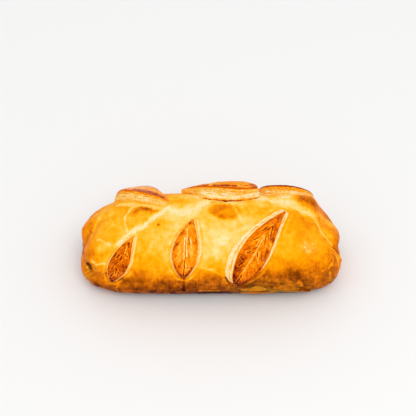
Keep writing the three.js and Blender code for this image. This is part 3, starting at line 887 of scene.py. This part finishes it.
def whole_browning(places, soft, ragged, beneath):
    """The browning of skin that isn't torn, with painted shade in its lower band and at its ends."""
    x, s = places.T
    front, back = (np.interp(side * s, *zip(*BROWNING_DOWN)) for side in (1, -1))
    along = np.interp(x, *zip(*BROWNING_ALONG)) * smoothstep(*ALONG_ENDS, np.abs(s))
    patches = sum_of_patches(soft, BROWN_PATCHES) + sum_of_patches(ragged, SCORCHED, edge=0.22)
    return lerp(front, (front + back) / 2, beneath) + along + patches


def marks_round_leaves(plain, places):
    """The pale ring and the browned fold round each leaf, broken here and there, and the ring's rise."""
    ring, fold, rise = np.zeros((3, len(plain)))
    broken = smoothstep(-0.8, 0.5, noise_b(plain, 8, 2))
    width = 1.1 + 0.4 * noise_a(plain, 6)
    for leaf in LEAVES:
        beyond = outside_of_leaf(leaf, places)
        shown = leaf.ring * broken
        ring = np.maximum(ring, shown * bell(beyond - RING_AT, width))
        fold = np.maximum(fold, shown * bell(beyond - 0.6, 0.6))
        rise += 0.25 * shown * bell(beyond - RING_AT, 1.3)
    return ring, fold, rise


def tucks_and_bubbles(places):
    """The rise and the browning of small tucks, burnt nicks and burst blisters."""
    rise, brown = np.zeros((2, len(places)))
    for width, height, change, path in TUCKS:
        mark = smoothstep(1.4, 0.3, distance_to_path(places, path) / (width / 2))
        rise += height * mark
        brown += change * mark
    for x, s, radius, height in BUBBLES:
        rim = bell(np.hypot(*(places - (x, s)).T) - radius, 1)
        rise += height * rim
        brown += 0.22 * rim
    return rise, brown


def finish_loaf():
    box = (2 * HALF_LENGTH, 2 * HALF_WIDTH, CROWN + BELLY)
    lattice, faces, foot = box_cells(LOAF_CELLS, box, WAIST)
    plain = plain_towards(lattice)
    turn = turn_of(plain)
    x, s = plain[:, 0], skin_length(plain[:, 0], turn)
    places = np.column_stack((x, s))
    soft = wandering(places, plain, 2.2, 1)
    ragged = wandering(places, plain, 1.2, 0.9)
    clear = clear_of_leaves(places)
    low = smoothstep(*LOWER_BAND, np.abs(s))
    beneath = smoothstep(UNDERNEATH, pi, np.abs(turn))

    lumps = noise_a(plain, 26, 2)
    blotches = noise_c(plain, 9, 3)
    dimples = noise_b(plain, 4.5, 2)
    wrinkles = noise_c(plain, 2, 2)
    flaky = noise_b(plain * (1, 1, 2.4), 1.6, 2)
    streaks = noise_c(places / (1.4, 12), 1, 2) * (1 - beneath)
    sheets = noise_b(places / (15, 2.2), 1, 2) * (1 - beneath)

    pale, torn = tears(plain, soft, ragged, clear)
    ring, fold, raised = marks_round_leaves(plain, places)
    pale = np.maximum(pale, 0.55 * ring)
    pale = np.clip(pale + 0.9 * flaky * pale * (1 - pale), 0, 1)
    greasy = sum_of_patches(soft, GREASY_PATCHES)
    gloss = sum_of_patches(soft, GLOSSY)
    # Beads of glaze where it shines most: they rise a little, and are painted paler as glints, a painted
    # highlight
    beads_and_painted_glints = smoothstep(0.25, 0.6, noise_c(plain, 1.1)) * smoothstep(0.3, 0.7, gloss)
    speckled = np.clip(sum_of_patches(places, SPECKLED), 0, 1)
    tucked, burnt = tucks_and_bubbles(wandering(places, plain, 0.5, 0.35))

    brown = whole_browning(places, soft, ragged, beneath) + 0.1 * end_folds(plain)[1]
    brown += 0.05 * lumps + 0.1 * blotches + 0.08 * dimples + 0.04 * wrinkles
    brown += streaks * (0.03 + 0.05 * low) + 0.05 * blotches * low
    brown -= 0.7 * sheets * np.minimum(greasy, 0.4)
    bare = 0.08 + 0.12 * flaky + 0.06 * dimples + 0.05 * streaks
    brown = lerp(brown, bare, pale)
    brown += np.clip(0.58 - brown, 0, 1) * 0.6 * fold * (0.6 + 0.6 * dimples)
    # The beads are painted paler, a painted highlight
    brown += burnt - 0.6 * beads_and_painted_glints + 0.4 * smoothstep(0.42, 0.62, noise_a(plain, 1.5)) * speckled

    rise = form_relief(plain, places) + torn + raised + tucked + 0.25 * beads_and_painted_glints
    rise += 0.45 * lumps * clear + 0.12 * blotches + 0.12 * dimples + 0.06 * wrinkles
    rise += 0.3 * flaky * np.clip(pale - 0.35, 0, 1) + 0.1 * streaks * low
    skin = plain + normals_at(plain) * rise[:, None]
    skin[:, 2] = np.maximum(skin[:, 2], 0)
    greasy = np.clip(greasy * (1 + flaky + 1.5 * sheets), 0, 1)
    grain = np.column_stack((places, 0 * x))
    values = dict(brown=brown, pale=pale, gloss=gloss, greasy=greasy, grain=grain)
    return mesh_object("loaf_crust", skin, faces + [foot], values)


# ------------ materials


def linear(red, green, blue):
    """A colour given as screen values from 0 to 255, as Blender's nodes want it."""
    values = []
    for value in (red, green, blue):
        share = value / 255
        values.append(share / 12.92 if share <= 0.04045 else ((share + 0.055) / 1.055) ** 2.4)
    return (*values, 1)


class Shader:
    """A material, and a short way of adding nodes to it."""

    def __init__(self, name):
        self.material = bpy.data.materials.new(name)
        self.material.use_nodes = True
        self.tree = self.material.node_tree
        self.surface = self.tree.nodes["Principled BSDF"]

    def add(self, kind, inputs=(), **settings):
        node = self.tree.nodes.new(kind)
        for key, value in settings.items():
            setattr(node, key, value)
        self.feed(node, dict(inputs))
        return node

    def feed(self, node, inputs):
        for key, value in inputs.items():
            if isinstance(value, bpy.types.NodeSocket):
                self.tree.links.new(value, node.inputs[key])
            else:
                node.inputs[key].default_value = value

    def math(self, operation, first, second=0, clamp=False):
        node = self.add("ShaderNodeMath", {0: first, 1: second}, operation=operation, use_clamp=clamp)
        return node.outputs[0]

    def value_at(self, name, kind="Fac"):
        return self.add("ShaderNodeAttribute", attribute_name=name).outputs[kind]

    def stretched(self, vector, scale):
        return self.add("ShaderNodeMapping", {"Vector": vector, "Scale": scale}).outputs["Vector"]

    def noise(self, vector, scale, detail=2, rough=0.55):
        """Noise of about -1 to 1."""
        inputs = {"Vector": vector, "Scale": scale, "Detail": detail, "Roughness": rough}
        shade = self.add("ShaderNodeTexNoise", inputs).outputs["Fac"]
        return self.math("SUBTRACT", self.math("MULTIPLY", shade, 3), 1.5)

    def sum_of(self, *terms):
        """The sum of (socket, factor) terms."""
        total = 0
        for socket, factor in terms:
            total = self.math("ADD", total, self.math("MULTIPLY", socket, factor))
        return total

    def ramp(self, factor, stops):
        node = self.add("ShaderNodeValToRGB", {"Fac": factor})
        band = node.color_ramp
        while len(band.elements) < len(stops):
            band.elements.new(0.5)
        for element, (position, colour) in zip(band.elements, stops):
            element.position = position
            element.color = colour
        return node.outputs["Color"]


BROWNEST = 1.3
# Browning, from raw pastry to burnt, with the loaf's colour and the leaves' redder one
LOAF_COLUMN, LEAF_COLUMN = 1, 2
BAKED = (
    (0, (254, 236, 190), (255, 238, 196)),
    (0.12, (254, 225, 148), (255, 224, 152)),
    (0.24, (254, 207, 98), (255, 207, 112)),
    (0.36, (254, 190, 46), (255, 190, 74)),
    (0.48, (254, 173, 6), (255, 171, 34)),
    (0.6, (252, 152, 1), (254, 149, 8)),
    (0.72, (232, 124, 1), (244, 121, 2)),
    (0.84, (194, 97, 0), (212, 94, 0)),
    (0.98, (148, 69, 0), (170, 64, 0)),
    (1.14, (94, 30, 0), (112, 30, 0)),
    (1.3, (50, 12, 2), (62, 12, 1)),
)
GREASY = (190, 134, 34)  # raw dough that has soaked up fat


def pastry(name, column, mottle, streak, bump):
    """Baked puff pastry: colour from the mesh's browning, broken up by mottling and fine streaks."""
    shader = Shader(name)
    brown, pale, greasy, gloss = (shader.value_at(key) for key in ("brown", "pale", "greasy", "gloss"))
    grain = shader.value_at("grain", "Vector")
    place = shader.add("ShaderNodeTexCoord").outputs["Object"]
    clouds = shader.noise(place, 230, 3)
    spots = shader.noise(place, 700, 2)
    streaks = shader.noise(shader.stretched(grain, (0.9, 0.1, 1.1)), 1, 2)
    flakes = shader.noise(shader.stretched(grain, (0.9, 0.5, 1.2)), 1.2, 3, 0.7)
    flaky = shader.math("MULTIPLY", flakes, pale)
    mottling = ((clouds, mottle), (spots, mottle * 0.7), (streaks, streak), (flaky, 0.1))
    total = shader.math("DIVIDE", shader.sum_of((brown, 1), *mottling), BROWNEST, clamp=True)
    baked = shader.ramp(total, [(row[0] / BROWNEST, linear(*row[column])) for row in BAKED])
    colours = {"Factor": greasy, "A": baked, "B": linear(*GREASY)}
    mixed = shader.add("ShaderNodeMix", colours, data_type="RGBA")
    height = shader.sum_of((clouds, 0.6), (spots, 0.4), (flaky, 1), (streaks, 0.3))
    bumped = shader.add("ShaderNodeBump", {"Height": height, "Strength": bump, "Distance": 0.0003})
    surface = {
        "Base Color": mixed.outputs["Result"],
        "Roughness": shader.math("ADD", shader.sum_of((pale, 0.2), (spots, 0.05)), 0.42),
        "Specular IOR Level": 0.04,
        "Specular Tint": (1, 0.72, 0.2, 1),
        "Coat Weight": gloss,
        "Coat Roughness": 0.16,
        "Normal": bumped.outputs["Normal"],
    }
    shader.feed(shader.surface, surface)
    return shader.material


# ------------ assembly


def place_piece(thing, material, node=None):
    thing.data.materials.append(material)
    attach(thing, "root")
    if node:
        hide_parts(node)


crust = pastry("crust", LOAF_COLUMN, mottle=0.05, streak=0.03, bump=0.35)
leaf_crust = pastry("leaf_crust", LEAF_COLUMN, mottle=0.06, streak=0.05, bump=0.5)

place_piece(finish_loaf(), crust, "loaf")
for number, leaf in enumerate(LEAVES + FLAKES):
    points, values, (stations, around) = leaf_arrays(leaf, number)
    thing = mesh_object(leaf.name + "_crust", points, ring_faces(stations, around), values)
    if leaf in LEAVES:
        place_piece(thing, leaf_crust, leaf.name)
    else:
        place_piece(thing, crust)


# ------------ floor, light and camera

FLOOR_HALF = 2500
FLOOR_DROP = 0.3
floor_corners = np.array([(-1, -1, 0), (1, -1, 0), (1, 1, 0), (-1, 1, 0)]) * FLOOR_HALF - (0, 0, FLOOR_DROP)
floor = mesh_object("floor", floor_corners, [(0, 1, 2, 3)], {})
floor_paint = Shader("floor")
floor_paint.feed(floor_paint.surface, {"Base Color": (0.92, 0.92, 0.915, 1), "Roughness": 0.7})
floor.data.materials.append(floor_paint.material)

SKY_STRENGTH = 0.91
world = bpy.data.worlds.new("studio")
world.use_nodes = True
sky = world.node_tree.nodes["Background"].inputs
sky["Color"].default_value = (1, 1, 1, 1)
sky["Strength"].default_value = SKY_STRENGTH
bpy.context.scene.world = world

KEY_FROM = Vector((0.2, -0.49, 0.84)).normalized()
KEY_DISTANCE = 1.6
key = bpy.data.lights.new("key", "AREA")
key.shape = "SQUARE"
key.size = 0.7
key.energy = 4.2
key_object = add_object("key", key)
key_object.location = KEY_FROM * KEY_DISTANCE
key_object.rotation_euler = KEY_FROM.to_track_quat("Z", "Y").to_euler()

PHOTO_WIDTH = 416  # pixels
FOCAL_LENGTH = 1180  # pixels
LOOKS_DOWN = 46  # degrees below the horizon
camera = bpy.data.cameras.new("camera")
camera.sensor_width = 36
camera.lens = FOCAL_LENGTH / PHOTO_WIDTH * camera.sensor_width
camera_object = add_object("camera", camera)
camera_object.location = (-0.0027, -0.6982, 0.7938)
camera_object.rotation_euler = (radians(90 - LOOKS_DOWN), 0, 0)
bpy.context.scene.camera = camera_object
bpy.context.scene.view_settings.view_transform = "Standard"
